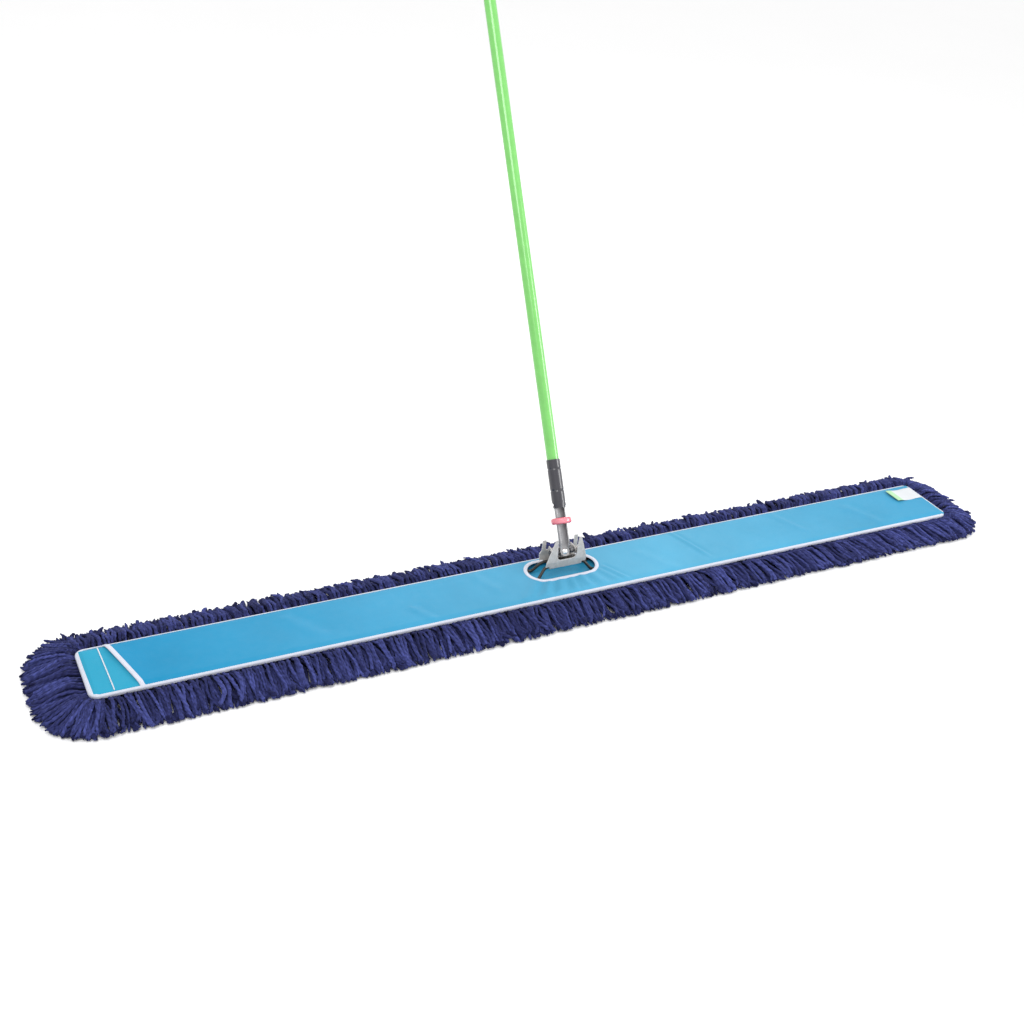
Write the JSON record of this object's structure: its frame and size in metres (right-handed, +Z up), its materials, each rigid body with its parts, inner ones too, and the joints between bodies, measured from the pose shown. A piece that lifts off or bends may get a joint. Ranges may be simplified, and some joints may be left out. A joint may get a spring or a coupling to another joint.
{
  "type": "flat mop",
  "caption": "Long flat dust mop: navy yarn skirt, cyan envelope backing on a wire frame, spring clip with a two-way swivel, lock ring and green tube handle.",
  "frame": {"origin": "on the floor under the middle of the mop head", "axes": "+X along the mop head to its sewn end, +Y across it towards the side the handle leans to, +Z up"},
  "size_m": [1.997, 1.0601, 1.4641],
  "materials": {
    "yarn": "navy looped and twisted cut yarn",
    "backing": "cyan coated woven nylon",
    "canvas": "cyan woven canvas",
    "tape": "white woven binding tape",
    "label": "white woven label with a pale green band",
    "frame_steel": "drawn galvanised wire",
    "clip_steel": "galvanised sheet steel",
    "spring_steel": "dark spring steel",
    "block_steel": "machined steel",
    "rivet_steel": "bright plated steel",
    "socket_coat": "dark grey coated steel",
    "ring_plastic": "translucent red plastic",
    "tube_fibreglass": "glossy green pulled fibreglass",
    "cap_rubber": "black moulded vinyl"
  },
  "bodies": {
    "head": {"yarn_pad": "yarn", "skirt_front": "yarn", "skirt_back": "yarn", "skirt_left": "yarn", "skirt_right": "yarn", "top_panel": "backing", "end_flap": "backing", "base_canvas": "canvas", "edge_binding": "tape", "mouth_binding": "tape", "opening_binding": "tape", "care_label": "label", "frame_wire_front": "frame_steel", "frame_wire_back": "frame_steel", "frame_ferrules": "frame_steel"},
    "front_jaw": {"front_jaw": "clip_steel", "torsion_springs": "spring_steel"},
    "rear_jaw": {"rear_jaw": "clip_steel"},
    "swivel": {"swivel_block": "block_steel", "trunnion_clips": "spring_steel", "rivet_washer": "rivet_steel", "pivot_rivet": "rivet_steel"},
    "handle": {"leg": "clip_steel", "handle_socket": "socket_coat", "socket_rivet": "rivet_steel", "handle_tube": "tube_fibreglass", "hang_cap": "cap_rubber"},
    "lock_ring": {"lock_ring": "ring_plastic"}
  },
  "joints": [
    {"name": "front_jaw_open", "type": "hinge", "parent": "head", "child": "front_jaw", "pos_m": [0, 0.018, 0.07], "axis": [-1, 0, 0], "range_deg": [0, 12], "stiffness_Nm_per_rad": 1.2, "springref_deg": -20.05, "deforming": ["torsion_springs"]},
    {"name": "rear_jaw_open", "type": "hinge", "parent": "head", "child": "rear_jaw", "pos_m": [0, 0.018, 0.07], "axis": [1, 0, 0], "range_deg": [0, 12]},
    {"name": "handle_pitch", "type": "hinge", "parent": "head", "child": "swivel", "pos_m": [0, 0.018, 0.07], "axis": [-1, 0, 0], "range_deg": [-74, 53]},
    {"name": "handle_sway", "type": "hinge", "parent": "swivel", "child": "handle", "pos_m": [0, 0.018, 0.07], "axis": [0, 0.8368, -0.5476], "range_deg": [-27, 22]},
    {"name": "ring_slide", "type": "slide", "parent": "handle", "child": "lock_ring", "axis": [0.0419, 0.5471, 0.836], "range_m": [-0.004, 0.018]}
  ],
  "couplings": [
    {"joint": "rear_jaw_open", "follows": "front_jaw_open", "ratio": 1}
  ]
}
